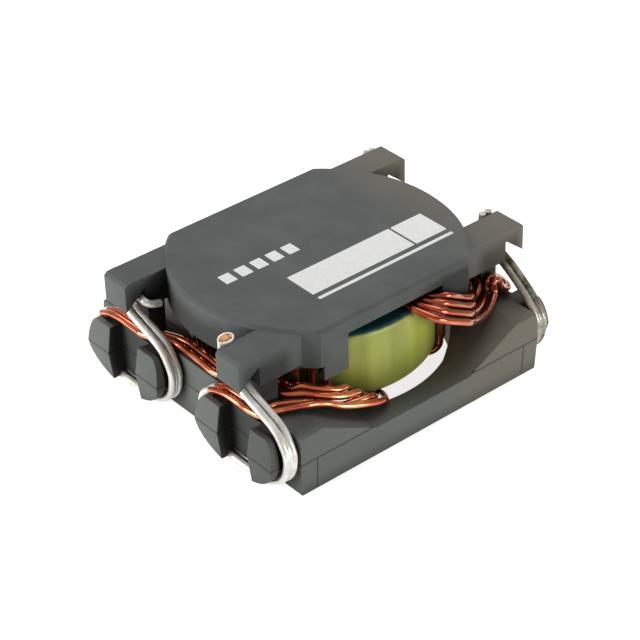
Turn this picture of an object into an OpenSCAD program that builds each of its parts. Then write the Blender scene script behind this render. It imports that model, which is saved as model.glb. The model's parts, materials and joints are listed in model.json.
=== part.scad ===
// Open-frame surface-mount inductor: a wound ring core in a one-piece plastic carrier.
// X runs along the length over the terminals, Y across, Z up from the board. Sizes in millimetres.

/* [Base frame] */
// Length of the base frame between its end walls' outer faces
base_len = 22.5; // [22:0.1:24]
// Width of the base frame between its side walls' outer faces
base_wid = 22.9; // [22.5:0.1:25]
// Height of the base frame at its ends and corners
base_h = 4.8; // [4.5:0.1:5]
// Height of the side walls at their middle
side_h = 2.5; // [2:0.1:2.7]
// Height of the mould's parting line
parting_h = 2.7; // [2.5:0.1:3]
// How far the drafted walls lean in above and below the parting line
draft = 0.12; // [0:0.02:0.2]
// Diameter of the round hole that the wound core passes through
hole_d = 19.4; // [19.2:0.1:20.6]
// Length of the low stretch of a side wall
side_low_len = 8.8; // [6:0.2:10]
// Length between the tops of a side wall's two ramps
side_ramp_len = 18.2; // [16:0.2:18.6]

/* [Cap] */
// Height of the flat pick-up face above the board
top_h = 10.2; // [10:0.1:11]
// Diameter of the round cap
cap_d = 21.9; // [21.6:0.1:22.2]
// Width of the cap across its two flats
cap_flat = 17.1; // [16.9:0.1:17.6]
// Thickness of the cap's top plate
plate_t = 1.25; // [1:0.05:1.4]
// Thickness of the skirt wall
skirt_t = 1.1; // [0.8:0.05:1.15]
// Depth of the round skirt below the top face
skirt_drop = 3.0; // [2.6:0.1:3.2]
// Depth of the skirt's legs beside the windows below the top face
leg_drop = 4.2; // [3.6:0.1:4.4]
// Width of the window in each flat of the skirt
window_w = 8.8; // [8.4:0.1:9.2]
// Chamfer around the top face
cap_edge = 0.25; // [0.1:0.05:0.4]

/* [Corner tabs] */
// Reach of the tabs' hooked ends past the end walls, both ends together
tab_span = 4.0; // [3.7:0.1:5]
// Width of a tab
tab_w = 2.5; // [2.2:0.1:2.8]
// Setback of an end's two tab centre lines behind the side walls, both sides together
tab_pitch = 10.1; // [9.9:0.1:10.5]
// Depth of the tabs' tops below the cap's top face
tab_step = 0.2; // [0.1:0.05:0.4]
// Thickness of a tab over its notch
tab_t = 0.95; // [0.8:0.05:1.1]
// Depth of the hooked lip below the top face
lip_drop = 2.5; // [2.2:0.1:2.6]
// Reach of the necks' outer faces past the end walls, both ends together
neck_span = 0.5; // [0.4:0.1:0.9]
// Depth of the neck's web below the top face
web_drop = 2.75; // [2.5:0.05:2.9]
// Setback of the posts below the webs behind the end walls, both ends together
post_span = 0.4; // [0.2:0.1:0.6]
// Size of a post along X
post_len = 1.45; // [1.2:0.05:1.6]
// Size of a post along Y
post_wid = 1.5; // [1.2:0.05:1.7]

/* [Terminal blocks] */
// Reach of the ears past the end walls at the parting line, both ends together
ear_span = 4.0; // [3.8:0.1:4.9]
// Width of a terminal block at the parting line
ear_w = 8.4; // [8:0.1:8.8]
// Width of a terminal block at its top
ear_top_w = 6.6; // [6:0.1:7]
// Height of an ear's lowest point above the board
ear_foot = 0.1; // [0.05:0.05:0.5]
// How far an ear's outer face leans in above and below the parting line
ear_draft = 0.35; // [0.1:0.05:0.4]
// Width of the slot between the two ears
slot_w = 3.3; // [2.8:0.1:3.6]
// Depth of that slot behind the ears' outer faces
slot_depth = 1.4; // [1:0.05:1.5]
// Depth of the wire groove behind the ears
groove_d = 0.45; // [0.3:0.05:0.7]

/* [Ring core] */
// Outer diameter of the coated ring
core_od = 17.5; // [17:0.1:17.7]
// Inner diameter of the coated ring
core_id = 9.4; // [9.2:0.1:9.8]
// Height of the coated ring
core_h = 5.5; // [4.6:0.1:5.8]
// Radius of the ring's coated edges
core_edge = 0.5; // [0.4:0.05:1]
// Free space between the winding and the cap's top plate
hang_gap = 0.3; // [0.15:0.05:0.4]
// Free space between the ring and the skirt's legs
core_fit = 0.15; // [0.1:0.05:0.3]

/* [Winding] */
// Diameter of a wire strand
wire_d = 0.54; // [0.45:0.01:0.56]
// Clearance between a strand and what it lies on
wire_gap = 0.04; // [0.02:0.01:0.05]
// Turns of each strand around the ring
turns = 8; // [5:1:8]
// Width of a wire loop around a terminal block, between its centre lines
loop_w = 9.3; // [9:0.1:9.6]
// How far a cut wire end stands above the top face
stub_rise = 0.25; // [0:0.05:0.5]

/* [Hidden] */
$fn = 96;
slack = 1;

half_len = base_len / 2;
half_wid = base_wid / 2;
cap_r = cap_d / 2;
tab_y = (base_wid - tab_pitch) / 2;
tab_out = (base_len + tab_span) / 2;
neck_out = (base_len + neck_span) / 2;
post_out = (base_len - post_span) / 2;
post_in = post_out - post_len;
ear_out = (base_len + ear_span) / 2;
plate_z = top_h - plate_t;
skirt_z = top_h - skirt_drop;
leg_z = top_h - leg_drop;
web_z = top_h - web_drop;
tab_z = top_h - tab_step;

// A strand's centre line keeps this distance from a surface, and this distance from its neighbour
lay = wire_d / 2 + wire_gap;
pitch = wire_d + wire_gap;
lead_pitch = 1.12 * pitch;
ear_in = half_len + 2 * pitch + wire_gap;
hub_foot = 2 * lay;

// Inner faces of the skirt's flats, just clear of the ring at the windows' edges
flat_in = sqrt((core_od / 2 + core_fit) * (core_od / 2 + core_fit) - window_w * window_w / 4);

core_top = plate_z - hang_gap - wire_d - wire_gap;
core_z = core_top - core_h;

// Section of one turn around the ring: inner and outer radius, lower and upper height, corner radius
turn_ri = core_id / 2 - lay;
turn_ro = core_od / 2 + lay;
turn_zb = core_z - lay;
turn_zt = core_top + lay;
turn_rc = core_edge + lay;

// The skirt's legs keep the outer sides of the turns out of these angles from the X axis
leg_a0 = asin((flat_in - lay) / turn_ro);
leg_a1 = acos((window_w / 2 - lay) / turn_ro);
leg_mid = (leg_a0 + leg_a1) / 2;
leg_half = (leg_a1 - leg_a0) / 2 + 1;
leg_reach = 14;

strands = 4;
first_turn_a = 180 + leg_a0 - 1;
turn_step = (first_turn_a - (1 - leg_a0)) / (strands * turns - 1);

// Leads leave the ring in the front window, this far from the middle and this far apart
lead_a = 10;
lead_step = 4.5;

// How much closer the outer turns lie next to the front window, as a share of their pitch
outer_bunch = 0.25;
underside_steps = 16;
upper_steps = 6;
tube_sides = 8;
lead_samples = 2;

// Height at which the leads run over the base frame
lead_z = base_h + lay + 0.1;
// A window's edge and a flat of the cap, which the leads pass
jamb = window_w / 2;
flat_out = cap_flat / 2;
// Half the width of a wire loop around a terminal block, and the height of its widest point
loop_y = loop_w / 2;
loop_mid_z = parting_h + 0.3;

// Points on the outline of a drafted block, widest at the parting line
function drafted(half, lean, low, high) = [
    [-half + lean, low], [half - lean, low], [half, parting_h],
    [half - lean, high], [-half + lean, high], [-half, parting_h]
];

function unit(v) = v / norm(v);
function polar(r, a, z) = [r * cos(a), r * sin(a), z];
function reversed(list) = [for (i = [len(list) - 1:-1:0]) list[i]];

// Curve through control points, with samples on each stretch
function spline_at(a, b, c, d, t) =
    0.5 * (2 * b + (c - a) * t + (2 * a - 5 * b + 4 * c - d) * t * t + (3 * b - a - 3 * c + d) * t * t * t);
function spline(points, samples) = let (last = len(points) - 1) [
    for (i = [0:last - 1], j = [0:samples - 1])
        spline_at(points[max(i - 1, 0)], points[i], points[i + 1], points[min(i + 2, last)], j / samples),
    points[last]
];

// Round tube along a path, as rings of points carried along it without twist
function tangent(path, i) = unit(path[min(i + 1, len(path) - 1)] - path[max(i - 1, 0)]);
function square_to(n, t) = unit(n - (n * t) * t);
function ring_normals(path) = let (t0 = tangent(path, 0), up = abs(t0[2]) < 0.8 ? [0, 0, 1] : [1, 0, 0]) [
    for (i = 0, n = square_to(up, t0); i < len(path); i = i + 1, n = square_to(n, tangent(path, i))) n
];
module tube(path, d) {
    normals = ring_normals(path);
    last = len(path) - 1;
    points = [
        for (i = [0:last], j = [0:tube_sides - 1])
            let (n = normals[i], b = cross(tangent(path, i), n), a = 360 * j / tube_sides)
                path[i] + d / 2 * (cos(a) * n + sin(a) * b)
    ];
    walls = [
        for (i = [0:last - 1], j = [0:tube_sides - 1])
            let (k = (j + 1) % tube_sides, p = i * tube_sides, q = p + tube_sides)
                [p + j, q + j, q + k, p + k]
    ];
    start_cap = [for (j = [0:tube_sides - 1]) j];
    end_cap = [for (j = [tube_sides - 1:-1:0]) last * tube_sides + j];
    polyhedron(points, concat([start_cap], walls, [end_cap]), convexity = 10);
}

// Angles of the inner and outer sides of the turns, counted over all strands
function inner_a(n) = first_turn_a + (2 - n) * turn_step;
function past_leg(d) = sign(d) * (leg_half + abs(d) * (leg_reach - leg_half) / leg_reach);
function clear_of_leg(a, mid) = abs(a - mid) < leg_reach ? mid + past_leg(a - mid == 0 ? 0.01 : a - mid) : a;
function bunched(n) = let (last = strands * turns - 1) n - outer_bunch * last * sin(360 * n / last) / (2 * PI);
function outer_a(n) = clear_of_leg(clear_of_leg(first_turn_a - bunched(n) * turn_step, leg_mid), 180 - leg_mid);
function start_a(k) = 270 - lead_a - lead_step * k;
function end_a(k) = lead_a + lead_step * (strands - 1 - k) - 90;

// Two corner points of a turn's section for each of its four corners, outside the rounded edge
function corner(q, i) = let (
    a = q * 90 + 22.5 + 45 * i,
    r = turn_rc / cos(22.5),
    inner = q < 2,
    low = q == 0 || q == 3,
    rad = inner ? turn_ri + turn_rc : turn_ro - turn_rc,
    z = low ? turn_zb + turn_rc : turn_zt - turn_rc
) [rad - r * sin(a), z - r * cos(a)];
function on_turn(p, a_in, a_out) =
    polar(p[0], a_in + (a_out - a_in) * (p[0] - turn_ri) / (turn_ro - turn_ri), p[1]);
function half_turn_up(a_from, a_in, a_to) = [
    for (i = [0, 1]) on_turn(corner(0, i), a_in, a_from),
    for (i = [0, 1]) on_turn(corner(1, i), a_in, a_to)
];
function half_turn_down(a_in, a_out, a_next) = [
    for (i = [0, 1]) on_turn(corner(2, i), a_in, a_out),
    for (i = [0, 1]) on_turn(corner(3, i), a_next, a_out)
];
function wound(k) = [
    for (j = [0:turns])
        let (
            n = strands * j + k,
            a_from = j == 0 ? start_a(k) : outer_a(n - strands),
            a_to = j == turns ? end_a(k) : outer_a(n)
        )
            each concat(
                half_turn_up(a_from, inner_a(n), a_to),
                j == turns ? [] : half_turn_down(inner_a(n), a_to, inner_a(n + strands))
            )
];

// A lead is written for the right-hand end, with x counted outwards, and mirrored for the left.
// Strand s of a pair is 0 next to the post and 1 outside it.
function at_terminal(points, y) = [for (p = points) [p[0], p[1] + y, p[2]]];
function wire_loop(s, hooked, top) = let (
    front = post_out + lay + s * pitch,
    groove = half_len + lay + s * pitch,
    neck = neck_out + lay + s * pitch,
    under = lay
) [
    [front, -0.3 * post_wid, lead_z],
    [front, 0.4 * post_wid, lead_z],
    [(front + groove) / 2, loop_y - 2.3, lead_z],
    [groove, loop_y - 0.9, lead_z - 0.5],
    for (side = [1, -1])
        each let (
            half = [
                [groove, side * (loop_y - 0.15), loop_mid_z + 1],
                [groove, side * loop_y, loop_mid_z],
                [groove, side * (loop_y - 0.35), loop_mid_z - 1.2],
                [groove, side * (loop_y - 1.35), under + 0.55],
                [groove, side * (loop_y - 2.75), under + 0.06],
                [groove, side * 0.6, under]
            ]
        ) side > 0 ? half : reversed(half),
    [groove, 1.1 - loop_y, lead_z + 0.05],
    [(groove + neck) / 2, -post_wid / 2 - 1.45, lead_z + 0.9],
    each hooked ? hook_end(neck) : stub_end(neck, top)
];
// A cut end passes under the tab and stands up beside it, or is bent back over on the near side
function stub_end(neck, top) = [
    [neck, -post_wid / 2 - 0.1, web_z - 0.65],
    [neck, 0.3, web_z - 0.1],
    [neck, tab_w / 2 - 0.05, web_z + 0.3],
    [neck, tab_w / 2 + lay, web_z + 1],
    [neck, tab_w / 2 + lay, top]
];
// The near left pair of ends stands highest, the near right pair ends at its tab's top, the others below it
function stub_top(l, over) = l > 1 ? tab_z - 0.2 : over ? tab_z + 0.1 : top_h + stub_rise;
function hook_end(neck) = [
    [neck, -post_wid / 2 - 0.1, web_z - 0.65],
    [neck, -tab_w / 2 + 1.1, web_z - 0.1],
    [neck, -tab_w / 2 + 1.05, web_z + 0.55],
    [neck, -tab_w / 2 + 0.35, web_z + 0.85],
    [neck, -tab_w / 2 - 0.25, web_z + 0.75],
    [neck - 0.4, -tab_w / 2 - lay - 0.2, web_z + 0.5],
    [neck - 1.1, -tab_w / 2 - lay - 0.3, web_z + 0.35]
];
function to_near_post(s) = let (r = lay + s * pitch) [
    [post_in + 0.5 + 0.4 * s, -post_wid / 2 - r - 0.1, lead_z],
    [post_out - 0.1, -post_wid / 2 - r - 0.02, lead_z],
    [post_out + 0.72 * r, -post_wid / 2 - 0.72 * r, lead_z]
];
// Leads from over the ring climb the post's near side before they go round it
function over_post(s) = let (r = lay + s * pitch, y = -post_wid / 2 - r) [
    [post_in + 0.1 + 0.2 * s, y - 0.1 - 0.06 * s, lead_z + 0.35],
    [post_in + 0.35, y - 0.04, lead_z + 1.3],
    [post_in + 0.85 - 0.1 * s, y - 0.04, lead_z + 1.25],
    [post_out - 0.1 - 0.08 * s, y - 0.02, lead_z + 0.4],
    [post_out + 0.72 * r, -post_wid / 2 - 0.72 * r, lead_z]
];
function past_post(s, rise) = let (inside = post_in - lay - (1 - s) * lead_pitch) [
    [inside - 0.2, -post_wid / 2 - 0.2 + 0.25 * (1 - s), lead_z + 0.7 * rise],
    [inside, 0, lead_z + rise],
    [inside, post_wid / 2 + 0.1, lead_z + 0.9 * rise],
    [inside + 0.4, post_wid / 2 + 1.2, lead_z + 0.4 * rise]
];
function along_end(s) = let (run = half_len - lay - 0.05 - (1 - s) * lead_pitch) [
    [run, loop_y - 0.45 - tab_y, lead_z],
    [run, 0, lead_z],
    [run, tab_y - loop_y + 1.05, lead_z]
];
function to_far_post(s) = let (r = lay + s * pitch) [
    [post_out + 1.04 * r - 0.12, -post_wid / 2 - 0.45, lead_z]
];

// Lanes of the leads beside the core, from the outermost lane 0 to the innermost lane 3. A stacked point
// lists how far out and down each lane lies, from the innermost on.
function lane(l, u, y, dy, z, dz) = [u, -(y + (strands - 1 - l) * dy), z - (strands - 1 - l) * dz];
function stacked(l, u, y, out, z, drop) = [u, -(y + out[strands - 1 - l]), z - drop[strands - 1 - l]];
function lane_exit(l, r, z) = let (a = lead_a + lead_step * l) [r * sin(a), -r * cos(a), z];
function lane_under(l) = let (m = strands - 1 - l) [
    lane_exit(l, turn_ro - turn_rc, turn_zb),
    lane_exit(l, turn_ro, turn_zb + 0.27),
    lane(l, jamb + 0.2 - 0.6 * m, flat_out + 0.05, 0.53, lead_z - 0.8, 0.37),
    stacked(l, jamb + 1.3, flat_out + 0.15, [0, 0.53, 0.64, 1.27], lead_z - 0.3, [0, 0.29, 0.98, 0.7]),
    stacked(l, jamb + 2.8, flat_out - 0.6, [0, 0.64, 0.83, 1.4], lead_z + 0.16, [0, 0.28, 0.92, 0.56]),
    stacked(l, post_in - 1.7 + 0.23 * m, tab_y + 1.1, [0, 0.56, 1.04, 1.58], lead_z + 0.44, [0, 0.22, 0.58, 0.4])
];
function lane_over(l) = let (m = strands - 1 - l) [
    lane_exit(l, turn_ro - turn_rc, turn_zt),
    lane_exit(l, turn_ro, turn_zt - 0.1),
    lane(l, jamb + 0.1 - 0.7 * m, flat_out + 0.45, 0.45, turn_zt - 0.1, 0.14),
    lane(l, jamb + 1.5 - 0.4 * m, flat_out + 0.35, 0.57, turn_zt - 0.96, 0.25),
    lane(l, jamb + 2.5 - 0.36 * m, flat_out + 0.3, 0.48, turn_zt - 1.38, 0.32),
    lane(l, post_in - 1.55, tab_y + 0.95, 0.66, lead_z + 1, 0.3)
];
function lead(l, over, rise, hooked) = let (s = l % 2 == 0 ? 1 : 0) concat(
    over ? lane_over(l) : lane_under(l),
    at_terminal(l < 2 ? (over ? over_post(s) : to_near_post(s)) : past_post(s, rise), -tab_y),
    l < 2 ? [] : along_end(s),
    l < 2 ? [] : at_terminal(to_far_post(s), tab_y),
    at_terminal(wire_loop(s, hooked, stub_top(l, over)), l < 2 ? -tab_y : tab_y)
);
function left_lead(k) =
    [for (p = spline(lead(k, false, 0.4, k == strands - 1), lead_samples)) [-p[0], p[1], p[2]]];
function right_lead(k) = spline(lead(strands - 1 - k, true, 1.4, false), lead_samples);
function strand_path(k) = concat(reversed(left_lead(k)), wound(k), right_lead(k));

module strand(k) {
    color("#b4622d") tube(strand_path(k), wire_d);
}

module both_ends() {
    children();
    mirror([1, 0, 0]) children();
}
module four_corners() {
    both_ends() {
        children();
        mirror([0, 1, 0]) children();
    }
}
// An outline in X and Z, or in Y and Z, extruded over a length
module along_y(length) {
    rotate([90, 0, 0]) linear_extrude(length, center = true) children();
}
module along_x(length) {
    rotate([90, 0, 90]) linear_extrude(length) children();
}

module base_frame() {
    difference() {
        intersection() {
            along_y(base_wid + slack) polygon(drafted(half_len, draft, 0, base_h));
            translate([-half_len - slack, 0, 0])
                along_x(base_len + 2 * slack) polygon(drafted(half_wid, draft, 0, base_h));
        }
        translate([0, 0, -slack]) cylinder(d = hole_d, h = base_h + 2 * slack);
        along_y(base_wid + 2 * slack) polygon([
            [-side_low_len / 2, side_h], [side_low_len / 2, side_h], [side_ramp_len / 2, base_h],
            [side_ramp_len / 2, base_h + slack], [-side_ramp_len / 2, base_h + slack], [-side_ramp_len / 2, base_h]
        ]);
    }
}

// Outline of a terminal block across its end: a round underside, rounded upper sides and a flat top
module block_outline(half, top_half, foot, top) {
    polygon([
        for (i = [0:underside_steps])
            let (a = 180 + 180 * i / underside_steps) [half * cos(a), parting_h + (parting_h - foot) * sin(a)],
        for (side = [1, -1], i = [1:upper_steps])
            let (a = 90 * (side > 0 ? i : upper_steps + 1 - i) / upper_steps)
                [side * (top_half + (half - top_half) * cos(a)), parting_h + (top - parting_h) * sin(a)]
    ]);
}
module terminal_block() {
    hub_len = slack + (ear_in - half_len) + (ear_out - ear_draft - ear_in) / 2;
    difference() {
        union() {
            translate([half_len - slack, 0, 0]) along_x(hub_len)
                block_outline(ear_w / 2 - groove_d, ear_top_w / 2 - groove_d, hub_foot, base_h - 0.1);
            intersection() {
                translate([ear_in, 0, 0]) along_x(ear_out - ear_in)
                    block_outline(ear_w / 2, ear_top_w / 2, ear_foot, base_h);
                along_y(ear_w + slack) polygon(drafted(ear_out, ear_draft, 0, base_h));
            }
        }
        translate([ear_out - slot_depth, -slot_w / 2, -slack]) cube([slot_depth + slack, slot_w, base_h + 2 * slack]);
    }
}

// Tab, hooked lip, web and post of one corner
module corner_tab() {
    along_y(tab_w) polygon([
        [cap_r / 2, web_z], [cap_r / 2, tab_z], [tab_out - cap_edge, tab_z], [tab_out, tab_z - cap_edge],
        [tab_out, top_h - lip_drop], [neck_out + 0.1, tab_z - tab_t], [neck_out, tab_z - tab_t],
        [neck_out, web_z]
    ]);
}
module corner_post() {
    translate([post_in, -post_wid / 2, base_h - slack]) cube([post_len, post_wid, web_z - base_h + 2 * slack]);
}

// Cap with its skirt, still solid: a round block with chamfered rim, cut to its two flats
module cap_block() {
    intersection() {
        rotate_extrude() polygon([
            [0, skirt_z], [cap_r, skirt_z], [cap_r, top_h - cap_edge], [cap_r - cap_edge, top_h], [0, top_h]
        ]);
        translate([-cap_d, 0, 0]) along_x(2 * cap_d) polygon([
            [-cap_flat / 2, 0], [cap_flat / 2, 0], [cap_flat / 2, top_h - cap_edge],
            [cap_flat / 2 - cap_edge, top_h], [cap_edge - cap_flat / 2, top_h], [-cap_flat / 2, top_h - cap_edge]
        ]);
    }
}
module window_leg() {
    leg_out = sqrt(cap_r * cap_r - cap_flat * cap_flat / 4) - cap_edge;
    translate([window_w / 2, flat_in, leg_z])
        cube([leg_out - window_w / 2, cap_flat / 2 - flat_in, skirt_z - leg_z + slack]);
}
module cap_hollow() {
    translate([0, 0, skirt_z - slack]) intersection() {
        cylinder(r = cap_r - skirt_t, h = plate_z - skirt_z + slack);
        translate([-cap_d / 2, -flat_in, 0]) cube([cap_d, 2 * flat_in, plate_z - skirt_z + slack]);
    }
    translate([-window_w / 2, -cap_flat, leg_z - slack]) cube([window_w, 2 * cap_flat, plate_z - leg_z + slack]);
}

module carrier() {
    color("#3c403f") {
        base_frame();
        four_corners() translate([0, tab_y, 0]) {
            terminal_block();
            corner_post();
        }
        difference() {
            union() {
                cap_block();
                four_corners() translate([0, tab_y, 0]) corner_tab();
            }
            cap_hollow();
        }
        four_corners() window_leg();
    }
}

module ring_core() {
    color("#b9bf4a") rotate_extrude() translate([core_id / 2, core_z]) {
        wall = (core_od - core_id) / 2;
        translate([core_edge, 0]) square([wall - 2 * core_edge, core_h]);
        translate([0, core_edge]) square([wall, core_h - 2 * core_edge]);
        for (r = [core_edge, wall - core_edge], z = [core_edge, core_h - core_edge])
            translate([r, z]) circle(core_edge);
    }
}

module first_winding_strand_a() {
    strand(0);
}
module first_winding_strand_b() {
    strand(1);
}
module second_winding_strand_a() {
    strand(2);
}
module second_winding_strand_b() {
    strand(3);
}

carrier();
ring_core();
first_winding_strand_a();
first_winding_strand_b();
second_winding_strand_a();
second_winding_strand_b();
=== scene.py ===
"""Blender scene of an open-frame surface-mount inductor.

A wound ring core hangs under the cap of a one-piece plastic carrier, and the tinned wire
ends loop round four terminal blocks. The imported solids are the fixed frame, in metres. The
carrier, ring and wires made here stand in their places, and the print and solder lie on them.
"""

import json
import logging
import math
from dataclasses import dataclass
from enum import Enum
from typing import Callable, Sequence

import bmesh
import bpy
from bpy.types import Material, Node, NodeSocket, Object, World
from mathutils import Matrix, Vector

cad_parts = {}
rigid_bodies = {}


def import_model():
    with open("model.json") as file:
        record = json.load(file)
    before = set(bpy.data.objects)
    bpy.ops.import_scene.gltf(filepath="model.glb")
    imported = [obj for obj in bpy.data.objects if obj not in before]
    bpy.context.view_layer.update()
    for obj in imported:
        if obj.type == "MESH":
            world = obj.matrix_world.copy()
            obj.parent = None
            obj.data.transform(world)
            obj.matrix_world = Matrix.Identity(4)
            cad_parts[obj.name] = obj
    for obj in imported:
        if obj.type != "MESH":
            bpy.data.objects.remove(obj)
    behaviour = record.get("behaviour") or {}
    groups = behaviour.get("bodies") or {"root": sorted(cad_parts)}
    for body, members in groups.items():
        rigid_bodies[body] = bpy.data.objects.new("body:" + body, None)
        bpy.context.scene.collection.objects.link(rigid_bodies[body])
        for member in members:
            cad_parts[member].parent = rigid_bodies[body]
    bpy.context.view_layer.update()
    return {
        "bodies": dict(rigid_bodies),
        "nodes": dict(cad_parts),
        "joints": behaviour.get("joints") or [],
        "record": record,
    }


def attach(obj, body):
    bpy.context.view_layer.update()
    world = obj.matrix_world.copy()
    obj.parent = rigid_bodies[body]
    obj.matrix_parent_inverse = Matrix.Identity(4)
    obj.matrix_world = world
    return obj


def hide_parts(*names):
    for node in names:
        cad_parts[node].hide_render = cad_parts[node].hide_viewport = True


LOG = logging.getLogger("inductor")
MM = 0.001
BODY = "root"
# Black laid over colours as painted shade
PAINTED_SHADE = "#000000"
WHITE = "#FFFFFF"
TUBE_FACETS = 4
TUBE_TIP = 0.3
TUBE_MERGE_MM = 0.001
SOLID_MERGE_MM = 0.002
TIP_REACH_MM = 0.1
SAME_POINT_MM = 1e-4
WIRE_SMOOTH = 60.0
Route = list[Vector]
Span = tuple[float, float]
Triple = tuple[float, float, float]
Field = tuple[float, float, float, float]
Source = Node | NodeSocket
Inputs = dict[str | int, float | tuple | Source]


class Slot(Enum):
    """Material slots of the record."""

    CARRIER = "carrier_plastic"
    CORE = "core_coating"
    COPPER = "enamelled_copper"
    TIN = "tinned_copper"
    INK = "white_ink"


class End(Enum):
    """How a cut wire end is laid."""

    STUB = "stub"
    HOOK = "hook"


class Along(Enum):
    """Directions along which the carrier's finish changes."""

    X = "lengthwise"
    Y = "crosswise"
    Z = "up"
    OUT = "lengthwise, from the middle"
    ASIDE = "crosswise, from the middle"
    OFF = "crosswise, from the middle of a terminal block"


# Modelling


def take(piece: Object) -> None:
    """Make a piece the only selected and the active object.

    Args:
        piece: Object to work on.
    """
    bpy.ops.object.select_all(action="DESELECT")
    piece.select_set(True)
    bpy.context.view_layer.objects.active = piece


def open_mesh(piece: Object) -> None:
    """Take a piece into edit mode, with all of its mesh selected.

    Args:
        piece: Object to work on.
    """
    take(piece)
    bpy.ops.object.mode_set(mode="EDIT")
    bpy.ops.mesh.select_all(action="SELECT")


def pick_faces(piece: Object, test: Callable[[bmesh.types.BMFace], bool]) -> None:
    """Select the faces of an open mesh that pass a test, and nothing else.

    Args:
        piece: Object in edit mode.
        test: Tells whether a face is wanted.
    """
    bpy.ops.mesh.select_all(action="DESELECT")
    mesh = bmesh.from_edit_mesh(piece.data)
    for face in mesh.faces:
        face.select_set(test(face))
    bmesh.update_edit_mesh(piece.data)


def face_out() -> None:
    """Turn all faces of the open mesh outwards, and leave edit mode."""
    bpy.ops.mesh.select_all(action="SELECT")
    bpy.ops.mesh.normals_make_consistent(inside=False)
    bpy.ops.object.mode_set(mode="OBJECT")


def plate(name: str, centre_mm: Vector, width: float, height: float, tilt: float = 0.0) -> Object:
    """Flat rectangle, to be shaped.

    Args:
        name: Name of the piece.
        centre_mm: Its centre.
        width: Its width in millimetres.
        height: Its other side in millimetres.
        tilt: Turn about the x axis, in radians.

    Returns:
        The rectangle, in edit mode with all of it selected.
    """
    bpy.ops.mesh.primitive_plane_add(size=MM, location=centre_mm * MM, rotation=(tilt, 0, 0))
    piece = bpy.context.object
    piece.name = name
    piece.scale = (width, height, 1)
    bpy.ops.object.transform_apply()
    open_mesh(piece)
    return piece


def round_tube(name: str, route: Route, diameter: float, taper: float = 0.0) -> Object:
    """Round tube along a route.

    Args:
        name: Name of the piece.
        route: Points in millimetres.
        diameter: Diameter in millimetres.
        taper: Share of the length at each end over which the tube thins out.

    Returns:
        The tube as a mesh object.
    """
    curve = bpy.data.curves.new(name, "CURVE")
    curve.dimensions = "3D"
    curve.bevel_depth = diameter / 2 * MM
    curve.bevel_resolution = TUBE_FACETS
    curve.use_fill_caps = True
    spline = curve.splines.new("POLY")
    kept = [p for i, p in enumerate(route) if i == 0 or (p - route[i - 1]).length > SAME_POINT_MM]
    last = len(kept) - 1
    spline.points.add(last)
    for i, (point, place) in enumerate(zip(spline.points, kept)):
        point.co = (*(place * MM), 1)
        if taper:
            point.radius = min(1.0, TUBE_TIP + (1 - TUBE_TIP) * min(i / last, 1 - i / last) / taper)
    tube = bpy.data.objects.new(name, curve)
    bpy.context.scene.collection.objects.link(tube)
    take(tube)
    bpy.ops.object.convert(target="MESH")
    piece = bpy.context.object
    open_mesh(piece)
    bpy.ops.mesh.remove_doubles(threshold=TUBE_MERGE_MM * MM)
    face_out()
    return piece


def bare_tip(piece: Object, tip: Vector, rim_mm: float) -> None:
    """Give the sheared face at a tip the piece's second material, inside a rim of the first.

    Args:
        piece: Tinned piece.
        tip: Centre of the sheared face, in metres.
        rim_mm: Width of the rim.
    """
    open_mesh(piece)
    pick_faces(piece, lambda face: len(face.verts) > 4
               and (face.calc_center_median() - tip).length < TIP_REACH_MM * MM)
    bpy.ops.mesh.inset(thickness=rim_mm * MM)
    mesh = bmesh.from_edit_mesh(piece.data)
    for face in mesh.faces:
        if face.select:
            face.material_index = 1
    bmesh.update_edit_mesh(piece.data)
    bpy.ops.object.mode_set(mode="OBJECT")


def hand_over(piece: Object, slot: Slot, materials: Sequence[Material], node: str | None,
              smooth: float) -> None:
    """Dress a finished mesh and tie it to the frame.

    Args:
        piece: Finished object.
        slot: Record slot of its main finish.
        materials: Materials in the order of the mesh's material indices.
        node: Solid that the piece stands for, or None.
        smooth: Greatest angle that is shaded smooth, in degrees.
    """
    take(piece)
    if piece.data.materials:
        piece.data.materials.clear()
    for material in materials:
        piece.data.materials.append(material)
    bpy.ops.object.shade_smooth_by_angle(angle=math.radians(smooth))
    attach(piece, BODY)
    if node:
        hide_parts(node)
    LOG.info("%s: %d faces, %s", piece.name, len(piece.data.polygons), slot.value)


# Node trees


def linear(code: str) -> tuple[float, float, float, float]:
    """Turn an sRGB hex colour into linear light.

    Args:
        code: Colour as "#RRGGBB".

    Returns:
        Linear red, green and blue, and an alpha of 1.
    """
    parts = [int(code[i:i + 2], 16) / 255 for i in (1, 3, 5)]
    red, green, blue = (v / 12.92 if v <= 0.04045 else ((v + 0.055) / 1.055) ** 2.4 for v in parts)
    return (red, green, blue, 1.0)


class Nodes:
    """Node tree of a material or a world, built one node at a time."""

    def __init__(self, owner: Material | World) -> None:
        """Give the owner an empty node tree.

        Args:
            owner: Material or world that the tree belongs to.
        """
        owner.use_nodes = True
        self.owner = owner
        self.tree = owner.node_tree
        self.tree.nodes.clear()

    def add(self, kind: str, inputs: Inputs | None = None, **settings: object) -> Node:
        """Add a node with its settings and links.

        Args:
            kind: Blender's name for the node, after "ShaderNode".
            inputs: Value or source of each input. A node as the source gives its first output.
            settings: Properties of the node itself.

        Returns:
            The new node.
        """
        node = self.tree.nodes.new(f"ShaderNode{kind}")
        for name, value in settings.items():
            setattr(node, name, value)
        for key, value in (inputs or {}).items():
            if isinstance(value, Node):
                value = value.outputs[0]
            if isinstance(value, NodeSocket):
                self.tree.links.new(value, node.inputs[key])
            else:
                node.inputs[key].default_value = value
        return node


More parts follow.
